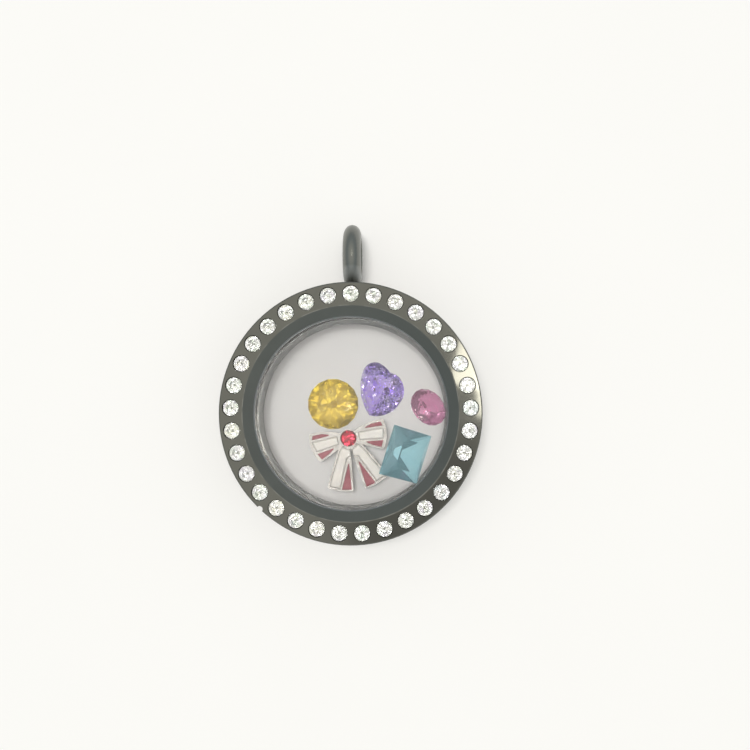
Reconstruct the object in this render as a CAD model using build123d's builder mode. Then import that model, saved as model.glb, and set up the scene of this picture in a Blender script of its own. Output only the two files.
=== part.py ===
from build123d import *
import math
import os

# A floating locket that lies on its back: a round case with a glass front and
# back, a hinged lid with a ring of stones in its rim, a fixed ring bail, and
# five loose charms inside. The origin is the middle of the back's rest plane,
# +Z points out of the front and +Y to the bail. Millimetres.

half_turn = 180.0

# Case
rim_diameter = 25.0
case_height = 7.0
flange_thickness = 1.4
flange_width = 2.2
foot_inset = 0.5
foot_height = 1.2
waist_inset = 1.2
wall_thickness = 1.5
window_lip = 0.6
dish_depth = 0.7
back_lip = 0.4
front_lip = 0.3
lower_half_height = 3.5
parting_gap = 0.05
outer_round = 0.22
flange_round = 0.12
window_chamfer = 0.1
dish_edge_chamfer = 0.05

# Glass
glass_thickness = 0.7
glass_gap = 0.03

# Rim stones
stone_diameter = 1.5
stone_count = 33
stone_inset = 1.12
first_stone_angle = 90.0
stone_proud = 0.06
seat_gap = 0.06
seat_tip_radius = 0.06

# Cut of the stones
girdle_share = 0.035
crown_angle = 34.5
table_share = 0.6
star_length = 0.5
pavilion_angle = 41.0
lower_facet_length = 0.77
crown_break = 6.0
pavilion_break = 2.0

# Lid hinge
barrel_radius = 0.7
barrel_length = 5.0
lid_barrel_length = 1.7
barrel_gap = 0.08
pin_radius = 0.35
pin_running_gap = 0.03
pin_seat_gap = 0.01
web_bite = 0.5

# Clasp
magnet_diameter = 1.0
magnet_thickness = 0.7
magnet_gap = 0.03
notch_radius = 0.3
notch_heading = 225.0
notch_pitch_share = 0.5

# Bail
bail_hole_diameter = 3.4
bail_width = 1.76
bail_side = 0.3
bail_dome = 1.1
bail_edge_round = 0.2
bail_tuck = 0.1
bail_level = 3.4
neck_width = 1.4
neck_height = 1.6
neck_round = 0.25

# Charms, with their places from the side of the chamber that they slid to
rest_gap = 0.02
charm_side_angle = -30.0
round_crystal_diameter = 5.0
round_crystal_place = (-10.407, 5.9)
round_crystal_turn = 12.0
small_crystal_diameter = 4.0
small_crystal_place = (-0.987, 5.62)
small_crystal_heading = 40.0
heart_lobe_radius = 1.63
heart_lobe_spread = 0.95
heart_lobe_rise = 1.02
heart_tip_reach = 2.75
heart_crown_height = 0.75
heart_pavilion_angle = 38.0
heart_rest_azimuth = 50.0
heart_place = (-5.867, 7.07)
heart_heading = 199.2
square_side = 5.0
square_place = (-3.257, 0.9)
square_heading = -17.3
square_corner_reach = 3.48
square_corner_crown = 22.0
square_corner_pavilion = 30.0
charm_girdle = 0.2
standing_culet_share = 0.14
culet_share = 0.03

# Bow charm
bow_place = (-8.957, 2.52)
bow_turn = 12.0
loop_length = 3.9
loop_height = 1.5
tail_width = 3.1
tail_length = 5.3
bow_plate = 0.45
bow_wall_height = 0.5
bow_corner_round = 0.22
knot_wall = 0.15
knot_radius = 0.92
knot_height = 1.15
enamel_gap = 0.02
white_enamel_rise = 0.2
white_enamel_round = 0.19
rose_enamel_sink = 0.08
white_cell_round = 0.12
rose_cell_round = 0.06

# Outline points of the bow's right half from the middle of its knot, as shares
# of the loop's length and height, or of the tail's width and length
loop_points = [
    (0.115, 0.333),
    (0.564, 0.747),
    (0.962, 0.8),
    (0.987, -0.2),
    (0.821, -1.187),
    (0.462, -0.773),
    (0.128, -0.4),
]
tail_points = [
    (0.371, -0.142),
    (0.684, -0.472),
    (1.0, -0.834),
    (0.613, -0.943),
    (0.194, -0.994),
    (0.052, -0.396),
    (0.0, -0.142),
]

# Enamel cells of the right half: colour, name, corners as the same shares
enamel_cells = [
    ("white", "loop", [(0.154, 0.28), (0.944, 0.24), (0.877, -0.48), (0.154, -0.253)]),
    ("rose", "loop_top", [(0.41, 0.44), (0.641, 0.653), (0.892, 0.653), (0.928, 0.36), (0.667, 0.387)]),
    ("rose", "loop_under", [(0.385, -0.427), (0.867, -0.6), (0.78, -1.03), (0.564, -0.77)]),
    (
        "white",
        "tail",
        [
            (0.032, -0.113), (0.032, -0.34), (0.189, -0.366), (0.592, -0.902),
            (0.929, -0.819), (0.387, -0.223), (0.242, -0.113),
        ],
    ),
    ("rose", "tail", [(0.14, -0.415), (0.24, -0.966), (0.56, -0.927)]),
]

# Heights and radii that follow
rim_radius = rim_diameter / 2
foot_radius = rim_radius - foot_inset
waist_radius = rim_radius - waist_inset
chamber_radius = waist_radius - wall_thickness
window_radius = chamber_radius - window_lip
dish_radius = rim_radius - flange_width
lid_bottom = lower_half_height + parting_gap
flange_bottom = case_height - flange_thickness
dish_floor = case_height - dish_depth
front_rabbet = dish_floor - front_lip
back_glass_bottom = back_lip + glass_gap
back_glass_top = back_glass_bottom + glass_thickness
front_glass_top = front_rabbet - glass_gap
charm_floor = back_glass_top + rest_gap
charm_side_x = chamber_radius * math.cos(math.radians(charm_side_angle))
charm_side_y = chamber_radius * math.sin(math.radians(charm_side_angle))

# The notch lies between two stones, and the hinge across from it
stone_ring_radius = rim_radius - stone_inset
stone_pitch = 360.0 / stone_count
stones_to_notch = math.floor((notch_heading - first_stone_angle) / stone_pitch)
notch_angle = first_stone_angle + stone_pitch * (stones_to_notch + notch_pitch_share)
hinge_angle = notch_angle - half_turn
hinge_reach = rim_radius - barrel_radius
hinge_level = lower_half_height + parting_gap / 2
relief_radius = barrel_radius + barrel_gap
case_barrel_length = (barrel_length - lid_barrel_length) / 2 - barrel_gap
case_barrel_offset = (barrel_length - case_barrel_length) / 2
bore_length = barrel_length + 2 * barrel_gap

# Middle of the case wall, where the magnets sit
wall_middle = (chamber_radius + waist_radius) / 2

bail_shoulder = bail_hole_diameter / 2 + bail_side
bail_centre = rim_radius + bail_shoulder + bail_dome - bail_tuck

# Height of the middle of the rim stones' girdles
rim_girdle = stone_diameter * girdle_share
rim_girdle_level = case_height + stone_proud - rim_girdle / 2
rim_girdle_level -= stone_diameter / 2 * (1 - table_share) * math.tan(math.radians(crown_angle))
rim_seat_depth = case_height + stone_proud - rim_girdle_level + rim_girdle

os.makedirs("parts", exist_ok=True)


def write(piece, name):
    """Labels a finished piece and writes it."""
    piece.part.label = name
    export_step(piece.part, f"parts/{name}.step")


def tangent(degrees):
    """Slope of an angle."""
    return math.tan(math.radians(degrees))


def slope_angle(slope):
    """Angle of a slope in degrees."""
    return math.degrees(math.atan(slope))


# Stone cutting


def grind(azimuth, angle, reach, level, upper=True):
    """Grinds one flat facet off the rough stone of the block around the call.

    The facet faces azimuth, leans by angle from the girdle plane and passes
    through the point at distance reach and height level.
    """
    turn = math.radians(azimuth)
    lean = math.radians(angle)
    rise = math.cos(lean) if upper else -math.cos(lean)
    place = (reach * math.cos(turn), reach * math.sin(turn), level)
    facing = (math.sin(lean) * math.cos(turn), math.sin(lean) * math.sin(turn), rise)
    split(bisect_by=Plane(origin=place, z_dir=facing), keep=Keep.BOTTOM)


def halving_slope(main_angle, corner_share, step):
    """Slope of the facets between the main ones, from where they all meet."""
    main_height = tangent(main_angle) * (1 - corner_share * math.cos(2 * step))
    return main_height / (math.cos(step) * (1 - corner_share))


def brilliant(radius, girdle, culet_radius):
    """Round brilliant on the girdle plane, with a main facet at azimuth 0."""
    mains = 8
    turn = 360.0 / mains
    step = math.radians(turn / 4)
    flat_radius = radius * math.cos(step)
    top = girdle / 2
    table_flat = table_share * math.cos(2 * step)
    star_corner = table_flat + star_length * (1 - table_flat)
    upper_slope = halving_slope(crown_angle, star_corner, step)
    lower_slope = halving_slope(pavilion_angle, 1 - lower_facet_length, step)
    crown_height = radius * tangent(crown_angle) * (1 - table_share)
    corner_height = radius * tangent(crown_angle) * (1 - star_corner * math.cos(2 * step))
    star_slope = (crown_height - corner_height) / (radius * (star_corner - table_flat))
    pavilion_depth = (radius - culet_radius) * tangent(pavilion_angle)
    with BuildPart() as stone:
        with BuildSketch(Plane.XY.offset(-top - pavilion_depth)):
            RegularPolygon(radius, 2 * mains)
        extrude(amount=2 * top + pavilion_depth + crown_height)
        for main in range(mains):
            azimuth = main * turn
            grind(azimuth, crown_angle, radius, top)
            grind(azimuth, pavilion_angle, radius, -top, upper=False)
            grind(azimuth + turn / 2, slope_angle(star_slope), table_flat * radius, top + crown_height)
            for side in (-turn / 4, turn / 4):
                grind(azimuth + side, slope_angle(upper_slope), flat_radius, top)
                grind(azimuth + side, slope_angle(lower_slope), flat_radius, -top, upper=False)
    return stone


def charm_place(place):
    """Place in the chamber of a charm that is placed from the chamber's side."""
    return (charm_side_x + place[0], charm_side_y + place[1])


def leaning(place, heading, reach, facet_angle=pavilion_angle):
    """Plane of a girdle whose stone lies on the pavilion facet that faces heading."""
    turn = math.radians(heading)
    lean = math.radians(facet_angle)
    level = charm_floor + reach * math.sin(lean) + charm_girdle / 2 * math.cos(lean)
    slope = (math.cos(turn) * math.cos(lean), math.sin(turn) * math.cos(lean), -math.sin(lean))
    facing = (math.cos(turn) * math.sin(lean), math.sin(turn) * math.sin(lean), math.cos(lean))
    return Plane(origin=(*charm_place(place), level), x_dir=slope, z_dir=facing)


def stone_seat(shoulder, depth):
    """Open seat for a small round stone, straight down to its shoulder and then a cone."""
    seat_radius = stone_diameter / 2 + seat_gap
    with Locations((0, 0, shoulder)):
        Cylinder(
            seat_radius,
            depth,
            align=(Align.CENTER, Align.CENTER, Align.MIN),
            mode=Mode.SUBTRACT,
        )
        Cone(
            seat_tip_radius,
            seat_radius,
            (seat_radius - seat_tip_radius) * tangent(pavilion_angle),
            align=(Align.CENTER, Align.CENTER, Align.MAX),
            mode=Mode.SUBTRACT,
        )


# Case halves


def hinge_place(along, level=hinge_level, inward=0.0):
    """Location on the hinge line, local X outwards and Y along the line."""
    turn = math.radians(hinge_angle)
    reach = hinge_reach - inward
    x = reach * math.cos(turn) - along * math.sin(turn)
    y = reach * math.sin(turn) + along * math.cos(turn)
    return Location((x, y, level), (0, 0, hinge_angle))


def hinge_barrel(along, length, rising):
    """Barrel on the hinge line, with the web that ties it to its half."""
    web_reach = hinge_reach - waist_radius + web_bite
    web_height = barrel_radius - parting_gap / 2
    web_level = (parting_gap + web_height) / 2
    side = 1 if rising else -1
    with Locations(hinge_place(along)):
        Cylinder(barrel_radius, length, rotation=(90, 0, 0))
    with Locations(hinge_place(along, hinge_level + side * web_level, web_reach / 2)):
        Box(web_reach, length, web_height)


def hinge_relief(along, length):
    """Room in one half for a barrel of the other."""
    with Locations(hinge_place(along)):
        Cylinder(relief_radius, length + 2 * barrel_gap, rotation=(90, 0, 0), mode=Mode.SUBTRACT)


with BuildPart() as case_frame:
    with BuildSketch(Plane.XZ) as case_section:
        with BuildLine():
            Polyline(
                (window_radius, 0),
                (foot_radius, 0),
                (foot_radius, foot_height),
                (waist_radius, foot_height),
                (waist_radius, lower_half_height),
                (chamber_radius, lower_half_height),
                (chamber_radius, back_lip),
                (window_radius, back_lip),
                close=True,
            )
        make_face()
        fillet(case_section.vertices().group_by(Axis.X)[-1], outer_round)
        chamfer(case_section.vertices().group_by(Axis.Y)[0].sort_by(Axis.X)[0], window_chamfer)
    revolve(axis=Axis.Z)
    hinge_relief(0, lid_barrel_length)
    for side in (-1, 1):
        hinge_barrel(side * case_barrel_offset, case_barrel_length, rising=False)
    with Locations(hinge_place(0)):
        Cylinder(pin_radius + pin_seat_gap, bore_length, rotation=(90, 0, 0), mode=Mode.SUBTRACT)
    with PolarLocations(wall_middle, 1, start_angle=notch_angle):
        with Locations((0, 0, lower_half_height)):
            Cylinder(
                magnet_diameter / 2 + magnet_gap,
                magnet_thickness + magnet_gap,
                align=(Align.CENTER, Align.CENTER, Align.MAX),
                mode=Mode.SUBTRACT,
            )
    neck_plane = Plane.XZ.offset(web_bite - waist_radius)
    with BuildSketch(neck_plane) as neck_section:
        with Locations((0, lower_half_height - parting_gap - neck_height / 2)):
            RectangleRounded(neck_width, neck_height, neck_round)
    extrude(amount=waist_radius + bail_hole_diameter / 2 - bail_centre)
    bail_plane = Plane(origin=(0, bail_centre, bail_level))
    with BuildSketch(bail_plane) as bail_section:
        with BuildLine():
            Polyline(
                (-bail_width / 2, bail_shoulder),
                (-bail_width / 2, bail_hole_diameter / 2),
                (bail_width / 2, bail_hole_diameter / 2),
                (bail_width / 2, bail_shoulder),
            )
            EllipticalCenterArc((0, bail_shoulder), bail_width / 2, bail_dome, arc_size=half_turn)
        make_face()
        fillet(bail_section.vertices().group_by(Axis.Y)[0], bail_edge_round)
    revolve(axis=Axis((0, bail_centre, bail_level), (1, 0, 0)))
write(case_frame, "case_frame")

with BuildPart() as lid_frame:
    with BuildSketch(Plane.XZ) as lid_section:
        with BuildLine():
            Polyline(
                (chamber_radius, lid_bottom),
                (waist_radius, lid_bottom),
                (waist_radius, flange_bottom),
                (rim_radius, flange_bottom),
                (rim_radius, case_height),
                (dish_radius, case_height),
                (window_radius, dish_floor),
                (window_radius, front_rabbet),
                (chamber_radius, front_rabbet),
                close=True,
            )
        make_face()
        fillet(lid_section.vertices().group_by(Axis.X)[-1], flange_round)
        chamfer(lid_section.vertices().group_by(Axis.Y)[-1].sort_by(Axis.X)[0], dish_edge_chamfer)
    revolve(axis=Axis.Z)
    for side in (-1, 1):
        hinge_relief(side * case_barrel_offset, case_barrel_length)
    hinge_barrel(0, lid_barrel_length, rising=True)
    with Locations(hinge_place(0)):
        Cylinder(pin_radius + pin_running_gap, bore_length, rotation=(90, 0, 0), mode=Mode.SUBTRACT)
    with PolarLocations(wall_middle, 1, start_angle=notch_angle):
        with Locations((0, 0, lid_bottom)):
            Cylinder(
                magnet_diameter / 2 + magnet_gap,
                magnet_thickness + magnet_gap,
                align=(Align.CENTER, Align.CENTER, Align.MIN),
                mode=Mode.SUBTRACT,
            )
    with PolarLocations(rim_radius, 1, start_angle=notch_angle):
        with Locations((0, 0, flange_bottom)):
            Cylinder(
                notch_radius,
                2 * flange_thickness,
                align=(Align.CENTER, Align.CENTER, Align.CENTER),
                mode=Mode.SUBTRACT,
            )
    with PolarLocations(stone_ring_radius, stone_count, start_angle=first_stone_angle):
        stone_seat(rim_girdle_level - rim_girdle / 2, rim_seat_depth)
write(lid_frame, "lid_frame")

# Glass, hinge pin and clasp magnets

pane_radius = chamber_radius - glass_gap
with BuildPart() as back_glass:
    with Locations((0, 0, back_glass_bottom)):
        Cylinder(pane_radius, glass_thickness, align=(Align.CENTER, Align.CENTER, Align.MIN))
write(back_glass, "back_glass")

with BuildPart() as front_glass:
    with Locations((0, 0, front_glass_top)):
        Cylinder(pane_radius, glass_thickness, align=(Align.CENTER, Align.CENTER, Align.MAX))
write(front_glass, "front_glass")

with BuildPart() as hinge_pin:
    with Locations(hinge_place(0)):
        Cylinder(pin_radius, barrel_length, rotation=(90, 0, 0))
write(hinge_pin, "hinge_pin")

with BuildPart() as case_magnet:
    with PolarLocations(wall_middle, 1, start_angle=notch_angle):
        with Locations((0, 0, lower_half_height)):
            Cylinder(magnet_diameter / 2, magnet_thickness, align=(Align.CENTER, Align.CENTER, Align.MAX))
write(case_magnet, "case_magnet")

with BuildPart() as lid_magnet:
    with PolarLocations(wall_middle, 1, start_angle=notch_angle):
        with Locations((0, 0, lid_bottom)):
            Cylinder(magnet_diameter / 2, magnet_thickness, align=(Align.CENTER, Align.CENTER, Align.MIN))
write(lid_magnet, "lid_magnet")

# Rim stones

small_stone = brilliant(stone_diameter / 2, rim_girdle, culet_share * stone_diameter / 2)
for place, seat in enumerate(PolarLocations(stone_ring_radius, stone_count, start_angle=first_stone_angle)):
    with BuildPart() as rim_stone:
        with Locations(seat * Location((0, 0, rim_girdle_level))):
            add(small_stone.part)
    write(rim_stone, f"rim_stone_{place + 1:02d}")

# Loose crystals

round_radius = round_crystal_diameter / 2
round_cut = brilliant(round_radius, charm_girdle, standing_culet_share * round_radius)
with BuildPart() as round_crystal:
    stand_level = charm_floor - round_cut.part.bounding_box().min.Z
    with Locations(Location((*charm_place(round_crystal_place), stand_level), (0, 0, round_crystal_turn))):
        add(round_cut.part)
write(round_crystal, "round_crystal")

small_radius = small_crystal_diameter / 2
small_cut = brilliant(small_radius, charm_girdle, culet_share * small_radius)
with BuildPart() as small_crystal:
    with Locations(leaning(small_crystal_place, small_crystal_heading, small_radius)):
        add(small_cut.part)
write(small_crystal, "small_crystal")


# Each side of the heart is one arc from the widest point of its lobe to the tip
heart_half_width = heart_lobe_spread + heart_lobe_radius
heart_side_height = heart_tip_reach + heart_lobe_rise
heart_side_radius = (heart_half_width**2 + heart_side_height**2) / (2 * heart_half_width)
heart_side_inset = heart_side_radius - heart_half_width
heart_side_sweep = math.atan2(heart_side_height, heart_side_inset)


def heart_reach(azimuth):
    """Distance from the heart's middle to its edge line that faces azimuth."""
    across = abs(math.cos(math.radians(azimuth)))
    along = math.sin(math.radians(azimuth))
    if along <= 0:
        return across * heart_lobe_spread - along * heart_lobe_rise + heart_lobe_radius
    if math.atan2(along, across) < heart_side_sweep:
        return heart_side_radius - across * heart_side_inset - along * heart_lobe_rise
    return along * heart_tip_reach


with BuildPart() as heart_cut:
    with BuildSketch(Plane.XY.offset(-charm_girdle / 2 - heart_tip_reach)):
        with BuildLine():
            dip = math.sqrt(heart_lobe_radius**2 - heart_lobe_spread**2)
            side_middle = (
                heart_side_radius * math.cos(heart_side_sweep / 2) - heart_side_inset,
                heart_side_radius * math.sin(heart_side_sweep / 2) - heart_lobe_rise,
            )
            ThreePointArc(
                (0, -heart_lobe_rise - dip),
                (heart_lobe_spread, -heart_lobe_rise - heart_lobe_radius),
                (heart_half_width, -heart_lobe_rise),
            )
            ThreePointArc((heart_half_width, -heart_lobe_rise), side_middle, (0, heart_tip_reach))
            mirror(about=Plane.YZ)
        make_face()
    extrude(amount=charm_girdle + heart_tip_reach + heart_crown_height)
    for side_azimuth in (-63, -33, 10, heart_rest_azimuth, 90):
        for azimuth in {side_azimuth, half_turn - side_azimuth}:
            reach = heart_reach(azimuth)
            grind(azimuth, crown_angle, reach, charm_girdle / 2)
            grind(azimuth, heart_pavilion_angle, reach, -charm_girdle / 2, upper=False)
    for side_azimuth in (-90, -48, -12, 30, 70):
        for azimuth in {side_azimuth, half_turn - side_azimuth}:
            reach = heart_reach(azimuth)
            grind(azimuth, crown_angle + crown_break, reach, charm_girdle / 2)
            grind(azimuth, heart_pavilion_angle + pavilion_break, reach, -charm_girdle / 2, upper=False)
with BuildPart() as heart_crystal:
    rest_reach = heart_reach(heart_rest_azimuth)
    heart_plane = leaning(heart_place, heart_heading, rest_reach, heart_pavilion_angle)
    with Locations(heart_plane.location * Location((0, 0, 0), (0, 0, -heart_rest_azimuth))):
        add(heart_cut.part)
write(heart_crystal, "heart_crystal")

with BuildPart() as square_cut:
    half_side = square_side / 2
    crown_height = half_side * (1 - table_share) * tangent(crown_angle)
    with BuildSketch(Plane.XY.offset(-charm_girdle / 2 - half_side)):
        Rectangle(square_side, square_side)
    extrude(amount=charm_girdle + half_side + crown_height)
    for azimuth in (0, 90, 180, 270):
        grind(azimuth, crown_angle, half_side, charm_girdle / 2)
        grind(azimuth, pavilion_angle, half_side, -charm_girdle / 2, upper=False)
    for azimuth in (45, 135, 225, 315):
        grind(azimuth, square_corner_crown, square_corner_reach, charm_girdle / 2)
        grind(azimuth, square_corner_pavilion, square_corner_reach, -charm_girdle / 2, upper=False)
with BuildPart() as square_crystal:
    with Locations(leaning(square_place, square_heading, half_side)):
        add(square_cut.part)
write(square_crystal, "square_crystal")

# Bow charm

bow_turn_radians = math.radians(bow_turn)
bow_base = Plane(
    origin=(*charm_place(bow_place), charm_floor),
    x_dir=(math.cos(bow_turn_radians), math.sin(bow_turn_radians), 0),
    z_dir=(0, 0, 1),
)
bow_rim = bow_plate + bow_wall_height


def bow_points(name, points):
    """Places of outline points that are shares of a loop's or tail's size."""
    wide, high = (tail_width, tail_length) if "tail" in name else (loop_length, loop_height)
    return [(x * wide, y * high) for x, y in points]


with BuildSketch() as loop_outline:
    with BuildLine():
        inner_top, top, top_corner, outer, low_corner, under, inner_low = bow_points("loop", loop_points)
        ThreePointArc(inner_top, top, top_corner)
        ThreePointArc(top_corner, outer, low_corner)
        ThreePointArc(low_corner, under, inner_low)
        Line(inner_low, inner_top)
    make_face()
    fillet(loop_outline.vertices().sort_by(Axis.X)[-2:], bow_corner_round)

with BuildSketch() as tail_outline:
    with BuildLine():
        outer_top, side, side_corner, hem, inner_corner, fork, inner_top = bow_points("tail", tail_points)
        ThreePointArc(outer_top, side, side_corner)
        ThreePointArc(side_corner, hem, inner_corner)
        Polyline(inner_corner, fork, inner_top, outer_top)
    make_face()
    fillet(tail_outline.vertices().sort_by(Axis.Y)[:2], bow_corner_round)


def enamel_cell(colour, name, points, side, shrink=0.0):
    """Outline of one enamel cell of the bow, mirrored to the left for side -1."""
    with BuildSketch() as cell:
        Polygon(*[(side * x, y) for x, y in bow_points(name, points)], align=None)
        Circle(knot_radius + knot_wall, mode=Mode.SUBTRACT)
        fillet(cell.vertices(), white_cell_round if colour == "white" else rose_cell_round)
        if shrink:
            offset(amount=-shrink)
    return cell.sketch


with BuildPart() as bow_charm:
    with BuildSketch(bow_base):
        add(loop_outline.sketch)
        add(tail_outline.sketch)
        mirror(about=Plane.YZ)
        Circle(knot_radius)
    extrude(amount=bow_rim)
    with BuildSketch(bow_base.offset(bow_plate)):
        for colour, name, points in enamel_cells:
            for side in (-1, 1):
                add(enamel_cell(colour, name, points, side))
    extrude(amount=bow_wall_height, mode=Mode.SUBTRACT)
    with BuildSketch(bow_base):
        Circle(knot_radius)
    extrude(amount=knot_height)
    with Locations(bow_base):
        stone_seat(knot_height - rim_girdle, 2 * rim_girdle)
write(bow_charm, "bow_charm")

for colour, name, points in enamel_cells:
    for side, hand in ((-1, "left"), (1, "right")):
        with BuildPart() as enamel:
            with BuildSketch(bow_base.offset(bow_plate + enamel_gap)):
                add(enamel_cell(colour, name, points, side, enamel_gap))
            if colour == "white":
                extrude(amount=bow_wall_height - enamel_gap + white_enamel_rise)
                fillet(enamel.edges().group_by(Axis.Z)[-1], white_enamel_round)
            else:
                extrude(amount=bow_wall_height - enamel_gap - rose_enamel_sink)
        write(enamel, f"{colour}_enamel_{hand}_{name}")

with BuildPart() as bow_stone:
    with Locations(bow_base.offset(knot_height - rim_girdle / 2)):
        add(small_stone.part)
write(bow_stone, "bow_stone")
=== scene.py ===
import math

import bpy
from bpy.props import (
    FloatProperty,
    FloatVectorProperty,
    IntProperty,
    PointerProperty,
)
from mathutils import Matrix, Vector


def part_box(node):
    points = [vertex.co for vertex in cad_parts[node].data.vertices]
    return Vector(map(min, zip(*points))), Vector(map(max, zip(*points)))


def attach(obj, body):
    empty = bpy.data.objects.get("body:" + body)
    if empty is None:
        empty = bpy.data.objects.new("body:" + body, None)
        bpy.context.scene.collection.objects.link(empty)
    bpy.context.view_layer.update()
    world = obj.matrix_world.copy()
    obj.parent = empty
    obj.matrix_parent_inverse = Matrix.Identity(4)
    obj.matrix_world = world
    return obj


bl_info = {
    "name": "Floating locket",
    "version": (1, 0, 0),
    "blender": (4, 5, 0),
    "location": "View3D > Sidebar > Locket",
    "description": "Dresses a round glass locket with rim stones and loose charms",
    "category": "Object",
}

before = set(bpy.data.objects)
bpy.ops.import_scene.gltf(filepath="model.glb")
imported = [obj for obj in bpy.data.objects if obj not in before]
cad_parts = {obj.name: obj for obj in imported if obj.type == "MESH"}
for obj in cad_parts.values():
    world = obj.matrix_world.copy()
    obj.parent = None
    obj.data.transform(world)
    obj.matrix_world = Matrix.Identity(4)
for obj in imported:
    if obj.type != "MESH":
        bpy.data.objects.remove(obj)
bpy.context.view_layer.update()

MM = 0.001
MICRON = 1e-6

# The photograph's side and the camera's focal length in its pixels, and the sensor in millimetres
PHOTO_PX = 750.0
CAMERA_FOCUS_PX = 888.0
SENSOR = 36.0


def nodes_named(start):
    """Names of the CAD nodes that start with the given words, in order."""
    return sorted(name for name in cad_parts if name.startswith(start))


RIM_STONES = nodes_named("rim_stone_")
WHITE_ENAMEL = nodes_named("white_enamel_")
ROSE_ENAMEL = nodes_named("rose_enamel_")

stone_low, stone_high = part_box(RIM_STONES[0])
stone_radius = (stone_high.x - stone_low.x) / 2
stone_middle = (stone_low + stone_high) / 2


# Node tree helpers. A source is a socket to link or a plain value to set.


def socket_in(group, kind, name, default=None, low=None):
    """Adds a named input to a node group."""
    socket = group.interface.new_socket(name, in_out="INPUT", socket_type=kind)
    if default is not None:
        socket.default_value = default
    if low is not None:
        socket.min_value = low


def socket_out(group, kind, name):
    """Adds a named output to a node group."""
    group.interface.new_socket(name, in_out="OUTPUT", socket_type=kind)


def add_node(tree, kind, place, **settings):
    """Adds a node. A setting named in_X sets its input X, and others set its properties."""
    node = tree.nodes.new(kind)
    node.location = place
    for name, value in settings.items():
        if name.startswith("in_"):
            node.inputs[name.removeprefix("in_").replace("_", " ")].default_value = value
        else:
            setattr(node, name, value)
    return node


def feed(tree, source, socket):
    """Links a source socket to an input, or sets the input to a plain value."""
    if isinstance(source, bpy.types.NodeSocket):
        tree.links.new(source, socket)
    else:
        socket.default_value = source


def feed_all(tree, sources, sockets):
    """Feeds inputs from sources, in order."""
    for source, socket in zip(sources, sockets):
        feed(tree, source, socket)


def math_node(tree, place, operation, *sources, clamp=False):
    """Math node. Gives its value."""
    node = add_node(tree, "ShaderNodeMath", place, operation=operation, use_clamp=clamp)
    feed_all(tree, sources, node.inputs)
    return node.outputs["Value"]


def vector_node(tree, place, operation, *sources):
    """Vector Math node. Gives its vector, or its value where it measures one."""
    node = add_node(tree, "ShaderNodeVectorMath", place, operation=operation)
    feed_all(tree, sources, node.inputs)
    return node.outputs["Value" if operation in ("LENGTH", "DOT_PRODUCT") else "Vector"]


def vector_of(tree, place, x=0.0, y=0.0, z=0.0):
    """Vector of three sources."""
    node = add_node(tree, "ShaderNodeCombineXYZ", place)
    feed_all(tree, (x, y, z), node.inputs)
    return node.outputs["Vector"]


# Where a Mix node has its first and second input and its result, by what it mixes
MIX_SOCKETS = {"FLOAT": (2, 3, 0), "RGBA": (6, 7, 2)}


def mix(tree, place, kind, share, first, second, blend="MIX"):
    """Mix of two values or colours by a share of the second. Gives the result."""
    node = add_node(tree, "ShaderNodeMix", place, data_type=kind, blend_type=blend)
    first_index, second_index, result_index = MIX_SOCKETS[kind]
    feed(tree, share, node.inputs["Factor"])
    feed(tree, first, node.inputs[first_index])
    feed(tree, second, node.inputs[second_index])
    return node.outputs[result_index]


def noise(tree, place, vector, scale, **settings):
    """Noise texture on a vector. Gives its value."""
    node = add_node(tree, "ShaderNodeTexNoise", place, **settings)
    feed(tree, vector, node.inputs["Vector"])
    feed(tree, scale, node.inputs["Scale"])
    return node.outputs["Fac"]


def ramp(tree, place, source, stops):
    """Colour ramp of a source, with stops of position and colour. Gives its colour."""
    node = add_node(tree, "ShaderNodeValToRGB", place)
    elements = node.color_ramp.elements
    while len(elements) < len(stops):
        elements.new(1.0)
    for element, (position, color) in zip(elements, stops):
        element.position = position
        element.color = color
    feed(tree, source, node.inputs["Fac"])
    return node.outputs["Color"]


def grey(value):
    """Opaque grey of a value."""
    return (value, value, value, 1.0)


def object_place(tree, place=(-900, -300)):
    """Place on the object, which patterns are laid on."""
    return add_node(tree, "ShaderNodeTexCoord", place).outputs["Object"]


FLOAT = "NodeSocketFloat"
COLOR = "NodeSocketColor"


def shader_group(name, inputs, outputs):
    """Shader group and the sockets of its inner ends, which are None once it is built."""
    group = bpy.data.node_groups.get(name)
    if group:
        return group, None, None
    group = bpy.data.node_groups.new(name, "ShaderNodeTree")
    for kind, label, default in inputs:
        socket_in(group, kind, label, default)
    for kind, label in outputs:
        socket_out(group, kind, label)
    start = add_node(group, "NodeGroupInput", (-900, 0))
    end = add_node(group, "NodeGroupOutput", (900, 0))
    return group, start.outputs, end.inputs


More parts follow.
